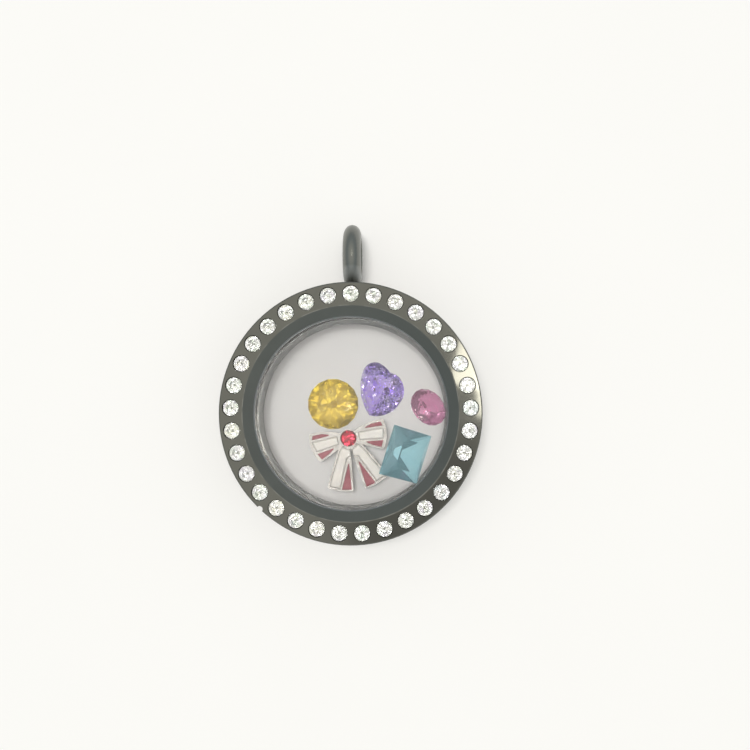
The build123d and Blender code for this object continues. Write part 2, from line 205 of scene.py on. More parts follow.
def handled_metal():
    """Finger haze, fine hairlines and slow colour drift on polished metal."""
    group, given, result = shader_group(
        "handled_metal",
        [
            (COLOR, "Colour", (0.1, 0.1, 0.1, 1)),
            (COLOR, "Haze colour", (0.2, 0.2, 0.2, 1)),
            (FLOAT, "Haze size", 300.0),
            (FLOAT, "Haze share", 0.5),
            (FLOAT, "Roughness", 0.15),
            (FLOAT, "Haze roughness", 0.1),
            (FLOAT, "Hairline size", 2500.0),
        ],
        [(COLOR, "Colour"), (FLOAT, "Roughness"), (FLOAT, "Hairlines")],
    )
    if given is None:
        return group
    place = object_place(group)
    haze = noise(group, (-600, 100), place, given["Haze size"], in_Detail=5.0, in_Roughness=0.6)
    spread = ramp(group, (-400, 100), haze, [(0.38, grey(0)), (0.68, grey(1))])
    share = math_node(group, (-100, 100), "MULTIPLY", spread, given["Haze share"])
    tint = mix(group, (150, 200), "RGBA", share, given["Colour"], given["Haze colour"])
    rough = math_node(
        group, (150, -50), "MULTIPLY_ADD", share, given["Haze roughness"], given["Roughness"]
    )
    stretch = add_node(
        group, "ShaderNodeMapping", (-600, -300),
        in_Scale=(1.0, 0.06, 1.0), in_Rotation=(0.3, 0.2, 0.7),
    )
    feed(group, place, stretch.inputs["Vector"])
    hairlines = noise(
        group, (-400, -300), stretch.outputs["Vector"], given["Hairline size"],
        in_Detail=3.0, in_Roughness=0.7,
    )
    feed_all(group, (tint, rough, hairlines), result)
    return group


def ring_zone():
    """Mask of a turned zone between two radii and two heights."""
    group, given, result = shader_group(
        "ring_zone",
        [
            (FLOAT, "Inner radius", 0.0),
            (FLOAT, "Outer radius", 0.01),
            (FLOAT, "Low", 0.0),
            (FLOAT, "High", 0.01),
            (FLOAT, "Softness", 0.00002),
            (FLOAT, "Share", 1.0),
            (FLOAT, "Break up", 0.0),
        ],
        [(FLOAT, "Mask")],
    )
    if given is None:
        return group
    place = object_place(group)
    split = add_node(group, "ShaderNodeSeparateXYZ", (-700, -300))
    feed(group, place, split.inputs["Vector"])
    height = split.outputs["Z"]
    flat = vector_of(group, (-500, -200), split.outputs["X"], split.outputs["Y"])
    radius = vector_node(group, (-300, -200), "LENGTH", flat)
    mask = given["Share"]
    sides = [
        (radius, given["Inner radius"]),
        (given["Outer radius"], radius),
        (height, given["Low"]),
        (given["High"], height),
    ]
    for row, (more, less) in enumerate(sides):
        level = -200 * row
        gap = math_node(group, (-100, level), "SUBTRACT", more, less)
        inside = math_node(group, (100, level), "DIVIDE", gap, given["Softness"], clamp=True)
        mask = math_node(group, (300 + 120 * row, level), "MULTIPLY", mask, inside)
    worn = noise(group, (-300, 300), place, 700.0, in_Detail=4.0)
    holes = ramp(group, (-100, 300), worn, [(0.42, grey(1)), (0.6, grey(0))])
    cut = math_node(group, (200, 300), "MULTIPLY", holes, given["Break up"])
    left = math_node(group, (400, 300), "SUBTRACT", 1.0, cut)
    broken = math_node(group, (780, 0), "MULTIPLY", mask, left)
    feed(group, broken, result["Mask"])
    return group


def touched_glass():
    """Faint smears left on glass by handling, and its slight waviness."""
    group, given, result = shader_group(
        "touched_glass",
        [
            (COLOR, "Colour", (1, 1, 1, 1)),
            (COLOR, "Smear colour", (0.9, 0.9, 0.9, 1)),
            (FLOAT, "Smear size", 250.0),
            (FLOAT, "Smear roughness", 0.03),
        ],
        [(COLOR, "Colour"), (FLOAT, "Roughness"), (FLOAT, "Waviness")],
    )
    if given is None:
        return group
    place = object_place(group)
    smear = noise(
        group, (-600, 100), place, given["Smear size"],
        in_Detail=4.0, in_Roughness=0.55, in_Distortion=0.8,
    )
    spread = ramp(group, (-400, 100), smear, [(0.45, grey(0)), (0.75, grey(1))])
    tint = mix(group, (0, 200), "RGBA", spread, given["Colour"], given["Smear colour"])
    rough = math_node(group, (0, 0), "MULTIPLY", spread, given["Smear roughness"])
    wave = noise(group, (-400, -300), place, 90.0, in_Detail=1.0)
    feed_all(group, (tint, rough, wave), result)
    return group


# Painted tints of the light that a cut stone splits, white in between
FIRE_HUES = [
    (0.0, (1.0, 1.0, 1.0, 1)),
    (0.3, (0.72, 0.6, 1.0, 1)),
    (0.45, (1.0, 1.0, 1.0, 1)),
    (0.6, (0.75, 1.0, 0.72, 1)),
    (0.72, (1.0, 1.0, 1.0, 1)),
    (0.85, (1.0, 0.95, 0.6, 1)),
    (1.0, (0.55, 0.85, 1.0, 1)),
]


def facet_fire():
    """Small patches inside a cut stone, each with its own lean, a painted tint of split light and
    a painted share of darker facet shade.
    """
    group, given, result = shader_group(
        "facet_fire",
        [
            (COLOR, "Colour", (1, 1, 1, 1)),
            (COLOR, "Deep colour", (1, 1, 1, 1)),
            (FLOAT, "Patch size", 3000.0),
            (FLOAT, "Fire", 0.2),
            (FLOAT, "Depth", 0.3),
            (FLOAT, "Roughness", 0.0),
        ],
        [(COLOR, "Colour"), (FLOAT, "Roughness"), (FLOAT, "Facets")],
    )
    if given is None:
        return group
    place = object_place(group)
    patches = add_node(group, "ShaderNodeTexVoronoi", (-600, 0), feature="F1", in_Randomness=1.0)
    feed(group, place, patches.inputs["Vector"])
    feed(group, given["Patch size"], patches.inputs["Scale"])
    split = add_node(group, "ShaderNodeSeparateColor", (-400, 0))
    feed(group, patches.outputs["Color"], split.inputs["Color"])
    # Painted light: the fire tints the patches with split light, and the depth mixes them towards
    # the darker colour as painted facet shade
    hues = ramp(group, (-200, 100), split.outputs["Red"], FIRE_HUES)
    fire = mix(group, (100, 100), "RGBA", given["Fire"], given["Colour"], hues, "MULTIPLY")
    painted_shade = math_node(group, (100, -150), "MULTIPLY", split.outputs["Green"], given["Depth"])
    tint = mix(group, (350, 100), "RGBA", painted_shade, fire, given["Deep colour"])
    inside = vector_node(group, (-400, -300), "SUBTRACT", place, patches.outputs["Position"])
    lean = vector_node(
        group, (-400, -500), "SUBTRACT", patches.outputs["Color"], (0.5, 0.5, 0.5)
    )
    rise = vector_node(group, (-200, -400), "DOT_PRODUCT", inside, lean)
    rough = math_node(
        group, (350, -150), "MULTIPLY_ADD", split.outputs["Blue"], 0.02, given["Roughness"]
    )
    feed_all(group, (tint, rough, rise), result)
    return group


def fired_enamel():
    """Slight pooling of colour, specks and orange peel in hard enamel."""
    group, given, result = shader_group(
        "fired_enamel",
        [
            (COLOR, "Colour", (0.8, 0.8, 0.8, 1)),
            (COLOR, "Pooled colour", (0.7, 0.7, 0.7, 1)),
            (COLOR, "Speck colour", (1, 1, 1, 1)),
            (FLOAT, "Pool size", 900.0),
            (FLOAT, "Speck size", 9000.0),
            (FLOAT, "Speck share", 0.1),
            (FLOAT, "Roughness", 0.2),
        ],
        [(COLOR, "Colour"), (FLOAT, "Roughness"), (FLOAT, "Peel")],
    )
    if given is None:
        return group
    place = object_place(group)
    pool = noise(group, (-600, 200), place, given["Pool size"], in_Detail=3.0)
    spread = ramp(group, (-400, 200), pool, [(0.35, grey(0)), (0.65, grey(1))])
    base = mix(group, (-100, 200), "RGBA", spread, given["Colour"], given["Pooled colour"])
    specks = noise(
        group, (-600, -100), place, given["Speck size"], in_Detail=2.0, in_Roughness=0.8
    )
    picked = ramp(group, (-400, -100), specks, [(0.6, grey(0)), (0.72, grey(1))])
    share = math_node(group, (-100, -100), "MULTIPLY", picked, given["Speck share"])
    speckled = mix(group, (150, 200), "RGBA", share, base, given["Speck colour"])
    rough = math_node(group, (150, -100), "MULTIPLY_ADD", spread, 0.12, given["Roughness"])
    feed_all(group, (speckled, rough, specks), result)
    return group


# Materials

# Zones of the case that differ from its plating, some of them painted light, with their sizes in
# millimetres
ZONES = [
    # Cement that shows on the faces of the two lips that hold the glass
    {"color": (0.36, 0.36, 0.35), "roughness": 0.35, "radii": (9.1, 9.74), "heights": (0.3, 0.43)},
    {"color": (0.36, 0.36, 0.35), "roughness": 0.35, "radii": (9.1, 9.74), "heights": (5.98, 6.1)},
    # Painted highlight: a lighter, broken line along the edge of the dish, standing in for light
    # caught by its rounded edge
    {
        "color": (0.36, 0.35, 0.32), "roughness": 0.2, "radii": (10.22, 10.34),
        "heights": (6.9, 7.1), "softness": 0.04, "share": 0.5, "broken": 0.9,
    },
    # A lighter, rougher band along the edge of its window
    {"color": (0.26, 0.26, 0.255), "roughness": 0.3, "radii": (9.1, 9.32), "heights": (5.9, 6.45)},
    # Softer polish of the bail, with a lighter colour painted on it to lift its dark reflections
    {"color": (0.2, 0.205, 0.19), "roughness": 0.3, "radii": (12.6, 19.0), "heights": (0.0, 7.0)},
    # A lighter, dull patch painted where the bail meets the case, over the dark reflection at its
    # foot
    {
        "color": (0.46, 0.47, 0.46), "roughness": 0.65, "radii": (12.55, 14.3),
        "heights": (0.0, 7.0), "softness": 0.7,
    },
]


def new_material(name, group, values, **shader):
    """Material whose Principled shader reads one shared group, set by the given values."""
    material = bpy.data.materials.new(name)
    material.use_nodes = True
    tree = material.node_tree
    principled = tree.nodes["Principled BSDF"]
    for key, value in shader.items():
        principled.inputs[key.replace("_", " ")].default_value = value
    effect = add_node(tree, "ShaderNodeGroup", (-400, 200), node_tree=group)
    for key, value in values.items():
        is_color = isinstance(value, tuple)
        effect.inputs[key].default_value = (*value, 1.0) if is_color else value
    feed(tree, effect.outputs["Colour"], principled.inputs["Base Color"])
    feed(tree, effect.outputs["Roughness"], principled.inputs["Roughness"])
    return material, effect.outputs, principled


def add_bump(material, height, principled, distance):
    """Bump from a height that feeds the shader's normal."""
    tree = material.node_tree
    bump = add_node(tree, "ShaderNodeBump", (-200, -200), in_Strength=1.0, in_Distance=distance)
    feed(tree, height, bump.inputs["Height"])
    feed(tree, bump.outputs["Normal"], principled.inputs["Normal"])


def pass_light(material, principled, share):
    """Lets lamps shine through glass by a share, as its shadow in air is faint."""
    tree = material.node_tree
    path = add_node(tree, "ShaderNodeLightPath", (-700, -400))
    shadow = path.outputs["Is Shadow Ray"]
    alpha = math_node(tree, (-400, -400), "MULTIPLY_ADD", shadow, -share, 1.0)
    feed(tree, alpha, principled.inputs["Alpha"])


def zone_mask(tree, place, radii, heights, softness=0.02, share=1.0, broken=0.0):
    """Mask of a turned zone, with its sizes in millimetres."""
    zone = add_node(tree, "ShaderNodeGroup", place, node_tree=ring_zone())
    names = ("Inner radius", "Outer radius", "Low", "High", "Softness")
    for name, size in zip(names, (*radii, *heights, softness)):
        zone.inputs[name].default_value = size * MM
    zone.inputs["Share"].default_value = share
    zone.inputs["Break up"].default_value = broken
    return zone.outputs["Mask"]


def plated_steel(name, finish):
    """Polished steel with black plating."""
    material, effect, principled = new_material(
        name,
        handled_metal(),
        {
            "Colour": tuple(finish.plating),
            "Haze colour": tuple(finish.plating_haze),
            "Haze size": 260.0,
            "Haze share": 0.7,
            "Roughness": finish.plating_roughness,
            "Haze roughness": 0.02,
            "Hairline size": 2600.0,
        },
        Metallic=1.0,
    )
    tree = material.node_tree
    color, rough = effect["Colour"], effect["Roughness"]
    # Each zone's colour is mixed over the plating; some zones are painted highlight or painted
    # lift over dark reflections
    for row, zone in enumerate(ZONES):
        level = 500 + 300 * row
        sizes = {key: zone[key] for key in zone if key not in ("color", "roughness")}
        mask = zone_mask(tree, (-500, level), **sizes)
        color = mix(tree, (-200, level), "RGBA", mask, color, (*zone["color"], 1.0))
        rough = mix(tree, (0, level), "FLOAT", mask, rough, zone["roughness"])
    feed(tree, color, principled.inputs["Base Color"])
    feed(tree, rough, principled.inputs["Roughness"])
    add_bump(material, effect["Hairlines"], principled, finish.hairline_depth)
    return material


def bright_metal(name, color, haze, roughness):
    """Plain bright metal."""
    material, effect, principled = new_material(
        name,
        handled_metal(),
        {
            "Colour": color,
            "Haze colour": haze,
            "Haze size": 900.0,
            "Haze share": 0.6,
            "Roughness": roughness,
            "Haze roughness": 0.12,
            "Hairline size": 6000.0,
        },
        Metallic=1.0,
    )
    add_bump(material, effect["Hairlines"], principled, 2.0 * MICRON)
    return material


def window_glass(name, finish):
    """Clear flat glass with faint smears."""
    material, effect, principled = new_material(
        name,
        touched_glass(),
        {
            "Colour": tuple(finish.glass),
            "Smear colour": (0.95, 0.955, 0.96),
            "Smear size": 180.0,
            "Smear roughness": 0.015,
        },
        Metallic=0.0,
        Transmission_Weight=1.0,
        IOR=1.5,
    )
    add_bump(material, effect["Waviness"], principled, 2.0 * MICRON)
    pass_light(material, principled, 0.97)
    return material


def cut_crystal(
    name, color, painted_shade, ior, fire, depth, patch, light, clearness=1.0, lean=0.0, roughness=0.0
):
    """Cut and polished coloured glass, a little cloudy where its clearness is under 1.

    Its patches are mixed towards the painted shade colour by up to the depth, as painted shade of
    darker facets, tinted by the fire as painted split light, and tilted by the lean, a bump
    height. Lamps shine through it by the share in light.
    """
    material, effect, principled = new_material(
        name,
        facet_fire(),
        {
            "Colour": tuple(color),
            "Deep colour": painted_shade,
            "Patch size": patch,
            "Fire": fire,
            "Depth": depth,
            "Roughness": roughness,
        },
        Metallic=0.0,
        Transmission_Weight=clearness,
        IOR=ior,
    )
    if lean:
        add_bump(material, effect["Facets"], principled, lean)
    pass_light(material, principled, light)
    return material


def hard_enamel(name, color, pooled, speck, share, roughness):
    """Glossy enamel."""
    material, effect, principled = new_material(
        name,
        fired_enamel(),
        {
            "Colour": tuple(color),
            "Pooled colour": pooled,
            "Speck colour": speck,
            "Speck share": share,
            "Roughness": roughness,
        },
        IOR=1.5,
        Coat_Weight=0.6,
        Coat_Roughness=0.08,
    )
    add_bump(material, effect["Peel"], principled, 1.5 * MICRON)
    return material


def dress(nodes, material):
    """Gives CAD nodes their material."""
    for name in nodes:
        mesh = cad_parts[name].data
        mesh.materials.clear()
        mesh.materials.append(material)


# Settings


class LocketFinish(bpy.types.PropertyGroup):
    """Finish of the case, the windows and the bow charm"""

    plating: FloatVectorProperty(
        name="Plating", description="Colour of the black plating",
        subtype="COLOR", min=0, max=1, default=(0.149, 0.15, 0.134),
    )
    plating_haze: FloatVectorProperty(
        name="Plating haze", description="Colour where fingers have hazed the plating",
        subtype="COLOR", min=0, max=1, default=(0.172, 0.172, 0.154),
    )
    plating_roughness: FloatProperty(
        name="Plating roughness", description="Roughness of the clean plating",
        subtype="FACTOR", min=0, max=1, default=0.045,
    )
    hairline_depth: FloatProperty(
        name="Hairline depth", description="Depth of the hairlines in the plating",
        subtype="DISTANCE", unit="LENGTH", min=0, default=0.25 * MICRON,
    )
    glass: FloatVectorProperty(
        name="Glass", description="Tint of the two windows",
        subtype="COLOR", min=0, max=1, default=(0.955, 0.953, 0.955),
    )
    silver: FloatVectorProperty(
        name="Silver", description="Colour of the bow's metal",
        subtype="COLOR", min=0, max=1, default=(0.6, 0.575, 0.545),
    )
    white_enamel: FloatVectorProperty(
        name="White enamel", description="Colour of the bow's white stripes",
        subtype="COLOR", min=0, max=1, default=(1.0, 0.955, 0.87),
    )
    rose_enamel: FloatVectorProperty(
        name="Rose enamel", description="Colour of the bow's rose stripes",
        subtype="COLOR", min=0, max=1, default=(0.33, 0.06, 0.085),
    )


class LocketCrystals(bpy.types.PropertyGroup):
    """Colours of the stones"""

    clear: FloatVectorProperty(
        name="Clear", description="Colour of the rim stones",
        subtype="COLOR", min=0, max=1, default=(0.985, 0.985, 0.96),
    )
    yellow: FloatVectorProperty(
        name="Yellow", description="Colour of the round crystal",
        subtype="COLOR", min=0, max=1, default=(0.62, 0.45, 0.04),
    )
    purple: FloatVectorProperty(
        name="Purple", description="Colour of the heart crystal",
        subtype="COLOR", min=0, max=1, default=(0.8, 0.67, 1.0),
    )
    pink: FloatVectorProperty(
        name="Pink", description="Colour of the small crystal",
        subtype="COLOR", min=0, max=1, default=(0.87, 0.43, 0.65),
    )
    blue: FloatVectorProperty(
        name="Blue", description="Colour of the square crystal",
        subtype="COLOR", min=0, max=1, default=(0.56, 0.92, 1.0),
    )
    red: FloatVectorProperty(
        name="Red", description="Colour of the bow's stone",
        subtype="COLOR", min=0, max=1, default=(0.36, 0.026, 0.045),
    )
    ior: FloatProperty(
        name="Refraction", description="How strongly the crystals bend light",
        min=1, max=2.5, default=1.56,
    )


class LocketFoils(bpy.types.PropertyGroup):
    """Sizes and places of the foils behind the rim stones"""

    count: IntProperty(
        name="Count", description="Number of foils, one behind each rim stone",
        min=1, default=len(RIM_STONES),
    )
    ring_radius: FloatProperty(
        name="Ring radius", description="Radius of the ring of stones",
        subtype="DISTANCE", unit="LENGTH", default=stone_middle.to_2d().length,
    )
    first_angle: FloatProperty(
        name="First angle", description="Direction of the first stone",
        subtype="ANGLE", unit="ROTATION", default=math.atan2(stone_middle.y, stone_middle.x),
    )
    level: FloatProperty(
        name="Level", description="Height of the foils' tips, just below the stones' culets",
        subtype="DISTANCE", unit="LENGTH", default=stone_low.z - 0.008 * MM,
    )
    radius: FloatProperty(
        name="Radius", description="Radius of a foil at its top",
        subtype="DISTANCE", unit="LENGTH", default=stone_radius + 0.025 * MM,
    )
    depth: FloatProperty(
        name="Depth", description="Height of a foil",
        subtype="DISTANCE", unit="LENGTH", default=0.625 * MM,
    )
    thickness: FloatProperty(
        name="Thickness", description="Thickness of the foil",
        subtype="DISTANCE", unit="LENGTH", default=0.01 * MM,
    )


class LocketStage(bpy.types.PropertyGroup):
    """Floor, surroundings, lights and camera"""

    floor_size: FloatProperty(
        name="Floor size", description="Side of the floor",
        subtype="DISTANCE", unit="LENGTH", default=1.2,
    )
    floor: FloatVectorProperty(
        name="Floor", description="Colour of the floor",
        subtype="COLOR", min=0, max=1, default=(0.92, 0.915, 0.9),
    )
    camera_place: FloatVectorProperty(
        name="Camera", description="Place of the camera",
        subtype="XYZ", unit="LENGTH", default=(4.67 * MM, -1.36 * MM, 91.0 * MM),
    )
    camera_shift: FloatVectorProperty(
        name="Shift", description="Shift of the camera's frame, as shares of its side",
        size=2, default=(-25.0 / PHOTO_PX, 53.0 / PHOTO_PX),
    )
    key_power: FloatProperty(
        name="Key light", description="Power of the large soft light",
        unit="POWER", min=0, default=6.45,
    )
    card_power: FloatProperty(
        name="Cards", description="Power of each card that shines in the rim",
        unit="POWER", min=0, default=0.0135,
    )
    spark_count: IntProperty(
        name="Spark count", description="Number of small lights that sparkle in the stones",
        min=0, default=28,
    )
    spark_power: FloatProperty(
        name="Sparks", description="Power of each small light that sparkles in the stones",
        unit="POWER", min=0, default=0.023,
    )
    matt_share: FloatProperty(
        name="Matt share", description="Share of the surroundings' light that matt surfaces catch",
        subtype="FACTOR", min=0, max=1, default=0.54,
    )
    glazed_share: FloatProperty(
        name="Glazed share",
        description="Share of the surroundings' light that matt surfaces behind glass catch",
        subtype="FACTOR", min=0, max=1, default=0.25,
    )
    dim_slope: FloatVectorProperty(
        name="Dim patch", description="Slope from straight up towards the dim patch of ceiling",
        size=2, default=(0.03, -0.095),
    )
    sky: FloatProperty(
        name="Surroundings", description="Brightness of the pale surroundings",
        min=0, default=0.84,
    )


# Operators


class LOCKET_OT_case(bpy.types.Operator):
    """Finish the two case halves, the hinge pin and the magnets"""

    bl_idname = "locket.case"
    bl_label = "Case"

    def execute(self, context):
        steel = plated_steel("black_plated_steel", context.scene.locket_finish)
        pin = bright_metal("pin_steel", (0.5, 0.5, 0.5), (0.42, 0.41, 0.4), 0.25)
        nickel = bright_metal("nickel_plate", (0.62, 0.6, 0.56), (0.5, 0.48, 0.45), 0.2)
        dress(["case_frame", "lid_frame"], steel)
        dress(["hinge_pin"], pin)
        dress(["case_magnet", "lid_magnet"], nickel)
        return {"FINISHED"}


class LOCKET_OT_windows(bpy.types.Operator):
    """Finish the front and back glass"""

    bl_idname = "locket.windows"
    bl_label = "Windows"

    def execute(self, context):
        glass = window_glass("clear_window_glass", context.scene.locket_finish)
        dress(["front_glass", "back_glass"], glass)
        return {"FINISHED"}


class LOCKET_OT_rim_stones(bpy.types.Operator):
    """Finish the rim stones and lay a silver foil behind each"""

    bl_idname = "locket.rim_stones"
    bl_label = "Rim stones"

    def execute(self, context):
        crystals = context.scene.locket_crystals
        clear = cut_crystal(
            "clear_rim_crystal", crystals.clear, (0.9, 0.9, 0.92), crystals.ior,
            fire=0.3, depth=0.1, patch=1700.0, light=0.8, clearness=0.95,
        )
        foil = bright_metal("silver_foil", (0.8, 0.8, 0.76), (0.6, 0.6, 0.58), 0.3)
        dress(RIM_STONES, clear)
        add_foils(context.scene.locket_foils, foil)
        return {"FINISHED"}


class LOCKET_OT_crystals(bpy.types.Operator):
    """Finish the four loose crystals"""

    bl_idname = "locket.crystals"
    bl_label = "Loose crystals"

    def execute(self, context):
        crystals = context.scene.locket_crystals
        yellow = cut_crystal(
            "yellow_crystal", crystals.yellow, (0.46, 0.28, 0.02), crystals.ior,
            fire=0.08, depth=0.5, patch=800.0, light=0.97, clearness=0.9, lean=0.08, roughness=0.1,
        )
        purple = cut_crystal(
            "purple_crystal", crystals.purple, (0.32, 0.15, 1.0), crystals.ior,
            fire=0.05, depth=0.8, patch=2300.0, light=0.97, clearness=0.95, lean=0.7,
        )
        pink = cut_crystal(
            "pink_crystal", crystals.pink, (0.72, 0.2, 0.42), crystals.ior,
            fire=0.05, depth=0.5, patch=1900.0, light=0.97, clearness=0.9, lean=0.35,
            roughness=0.03,
        )
        blue = cut_crystal(
            "blue_crystal", crystals.blue, (0.28, 0.66, 0.95), crystals.ior,
            fire=0.0, depth=0.1, patch=500.0, light=0.97, clearness=0.85, lean=0.03,
        )
        dress(["round_crystal"], yellow)
        dress(["heart_crystal"], purple)
        dress(["small_crystal"], pink)
        dress(["square_crystal"], blue)
        return {"FINISHED"}


class LOCKET_OT_bow(bpy.types.Operator):
    """Finish the bow charm's metal, enamel and stone"""

    bl_idname = "locket.bow"
    bl_label = "Bow charm"

    def execute(self, context):
        finish = context.scene.locket_finish
        crystals = context.scene.locket_crystals
        silver = bright_metal("silver_plate", tuple(finish.silver), (0.6, 0.57, 0.53), 0.14)
        white = hard_enamel(
            "white_enamel", finish.white_enamel,
            pooled=(0.92, 0.88, 0.82), speck=(0.98, 0.97, 0.95), share=0.2, roughness=0.16,
        )
        rose = hard_enamel(
            "rose_enamel", finish.rose_enamel,
            pooled=(0.33, 0.05, 0.075), speck=(0.75, 0.35, 0.35), share=0.6, roughness=0.2,
        )
        red = cut_crystal(
            "red_crystal", crystals.red, (0.6, 0.04, 0.08), crystals.ior,
            fire=0.1, depth=0.3, patch=2600.0, light=0.8,
        )
        dress(["bow_charm"], silver)
        dress(WHITE_ENAMEL, white)
        dress(ROSE_ENAMEL, rose)
        dress(["bow_stone"], red)
        return {"FINISHED"}


class LOCKET_OT_stage(bpy.types.Operator):
    """Set the floor, the soft lights and the camera"""

    bl_idname = "locket.stage"
    bl_label = "Stage"

    def execute(self, context):
        stage = context.scene.locket_stage
        add_floor(stage)
        add_surroundings(stage)
        add_lights(stage)
        add_camera(stage)
        context.scene.view_settings.view_transform = "Standard"
        return {"FINISHED"}


# Foils behind the rim stones

FOIL_SIDES = 24
CULET_SHARE = 0.01


def foil_tree():
    """Geometry nodes that set one thin conical foil behind each stone of a ring."""
    tree = bpy.data.node_groups.new("stone_foils", "GeometryNodeTree")
    socket_out(tree, "NodeSocketGeometry", "Geometry")
    socket_in(tree, "NodeSocketInt", "Count", len(RIM_STONES), low=1)
    for name in ("Ring radius", "First angle", "Level", "Radius", "Depth", "Thickness"):
        socket_in(tree, FLOAT, name, 0.0)
    socket_in(tree, "NodeSocketMaterial", "Material")
    given = add_node(tree, "NodeGroupInput", (-1200, 0)).outputs
    end = add_node(tree, "NodeGroupOutput", (1200, 0))

    # The profile runs out from the culet's edge to the girdle, and back one thickness lower.
    # Curve to Mesh lays its Y axis downwards on a flat circle, so heights are negative.
    thickness = given["Thickness"]
    culet = math_node(tree, (-900, 300), "MULTIPLY", given["Radius"], CULET_SHARE)
    outward = math_node(tree, (-900, 150), "SUBTRACT", given["Radius"], culet)
    top = math_node(tree, (-900, 0), "MULTIPLY", given["Depth"], -1.0)
    lower_top = math_node(tree, (-900, -150), "SUBTRACT", thickness, given["Depth"])
    corners = [(0.0, 0.0), (outward, top), (outward, lower_top), (0.0, thickness)]
    profile = add_node(
        tree, "GeometryNodeCurvePrimitiveQuadrilateral", (-300, 300), mode="POINTS"
    )
    for number, (x, y) in enumerate(corners):
        point = vector_of(tree, (-600, 450 - 150 * number), x, y)
        feed(tree, point, profile.inputs[f"Point {number + 1}"])
    circle = add_node(
        tree, "GeometryNodeCurvePrimitiveCircle", (-300, 0), in_Resolution=FOIL_SIDES
    )
    feed(tree, culet, circle.inputs["Radius"])
    sweep = add_node(tree, "GeometryNodeCurveToMesh", (0, 200))
    feed(tree, circle.outputs["Curve"], sweep.inputs["Curve"])
    feed(tree, profile.outputs["Curve"], sweep.inputs["Profile Curve"])

    ring = add_node(tree, "GeometryNodeMeshCircle", (0, -100))
    feed(tree, given["Count"], ring.inputs["Vertices"])
    feed(tree, given["Ring radius"], ring.inputs["Radius"])
    rise = vector_of(tree, (0, -300), z=given["Level"])
    turn = vector_of(tree, (0, -450), z=given["First angle"])
    placed = add_node(tree, "GeometryNodeTransform", (250, -100))
    feed(tree, ring.outputs["Mesh"], placed.inputs["Geometry"])
    feed(tree, rise, placed.inputs["Translation"])
    feed(tree, turn, placed.inputs["Rotation"])

    instances = add_node(tree, "GeometryNodeInstanceOnPoints", (500, 100))
    feed(tree, placed.outputs["Geometry"], instances.inputs["Points"])
    feed(tree, sweep.outputs["Mesh"], instances.inputs["Instance"])
    realize = add_node(tree, "GeometryNodeRealizeInstances", (750, 100))
    feed(tree, instances.outputs["Instances"], realize.inputs["Geometry"])
    finish = add_node(tree, "GeometryNodeSetMaterial", (950, 100))
    feed(tree, realize.outputs["Geometry"], finish.inputs["Geometry"])
    feed(tree, given["Material"], finish.inputs["Material"])
    feed(tree, finish.outputs["Geometry"], end.inputs["Geometry"])
    return tree


def settle(obj, name):
    """Turns an object with a live nodes modifier into one plain mesh."""
    depsgraph = bpy.context.evaluated_depsgraph_get()
    mesh = bpy.data.meshes.new_from_object(obj.evaluated_get(depsgraph), depsgraph=depsgraph)
    mesh.name = name
    obj.modifiers.clear()
    obj.data = mesh
    obj.name = name


def add_foils(foils, material):
    """Foils that back the rim stones, on the lid."""
    name = "rim_stone_foils"
    obj = bpy.data.objects.new(name, bpy.data.meshes.new(name))
    bpy.context.scene.collection.objects.link(obj)
    tree = foil_tree()
    modifier = obj.modifiers.new(name, "NODES")
    modifier.node_group = tree
    values = {
        "Count": foils.count,
        "Ring radius": foils.ring_radius,
        "First angle": foils.first_angle,
        "Level": foils.level,
        "Radius": foils.radius,
        "Depth": foils.depth,
        "Thickness": foils.thickness,
        "Material": material,
    }
    for item in tree.interface.items_tree:
        if item.item_type == "SOCKET" and item.in_out == "INPUT":
            modifier[item.identifier] = values[item.name]
    settle(obj, name)
    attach(obj, "lid")


# Stage

# The floor lies a little below the locket's foot, and its mottles are a little darker
FLOOR_LEVEL = -0.02 * MM
MOTTLE_SHADE = 0.992

# Tones of the room, from its foot at 0 to straight overhead at 1
ROOM_TONES = [
    (0.0, (0.7, 0.72, 0.72, 1)),
    (0.45, (0.62, 0.7, 0.74, 1)),
    (0.8, (0.98, 1.0, 0.97, 1)),
    (1.0, (1.22, 1.2, 1.13, 1)),
]

# The dim patch of ceiling: angles from its middle where it starts and where it is full
DIM_START = 0.13
DIM_FULL = 0.05
DIM_SHARE = 0.5

# The small lights stand on a dome, each a golden angle on from the last
SPARK_DISTANCE = 0.3
SPARK_SIZE = 0.018
SPARK_START = math.radians(17)
SPARK_TURN = math.radians(137.5)
SPARK_HEIGHTS = [math.radians(height) for height in (44, 58, 68, 76)]
SPARKLING = ("stone", "crystal", "glass", "bow", "enamel")


def add_floor(stage):
    """Pale floor that the locket lies on."""
    half = stage.floor_size / 2
    mesh = bpy.data.meshes.new("floor")
    corners = [(-half, -half, 0), (half, -half, 0), (half, half, 0), (-half, half, 0)]
    mesh.from_pydata(corners, [], [(0, 1, 2, 3)])
    floor = bpy.data.objects.new("floor", mesh)
    floor.location.z = FLOOR_LEVEL
    bpy.context.scene.collection.objects.link(floor)
    material = bpy.data.materials.new("pale_floor")
    material.use_nodes = True
    tree = material.node_tree
    principled = tree.nodes["Principled BSDF"]
    principled.inputs["Roughness"].default_value = 0.55
    principled.inputs["Specular IOR Level"].default_value = 0.2
    mottle = noise(tree, (-700, 0), object_place(tree, (-900, 0)), 40.0, in_Detail=3.0)
    pale = tuple(stage.floor)
    shade = tuple(part * MOTTLE_SHADE for part in pale)
    tone = ramp(tree, (-400, 0), mottle, [(0.3, (*shade, 1)), (0.7, (*pale, 1))])
    feed(tree, tone, principled.inputs["Base Color"])
    mesh.materials.append(material)


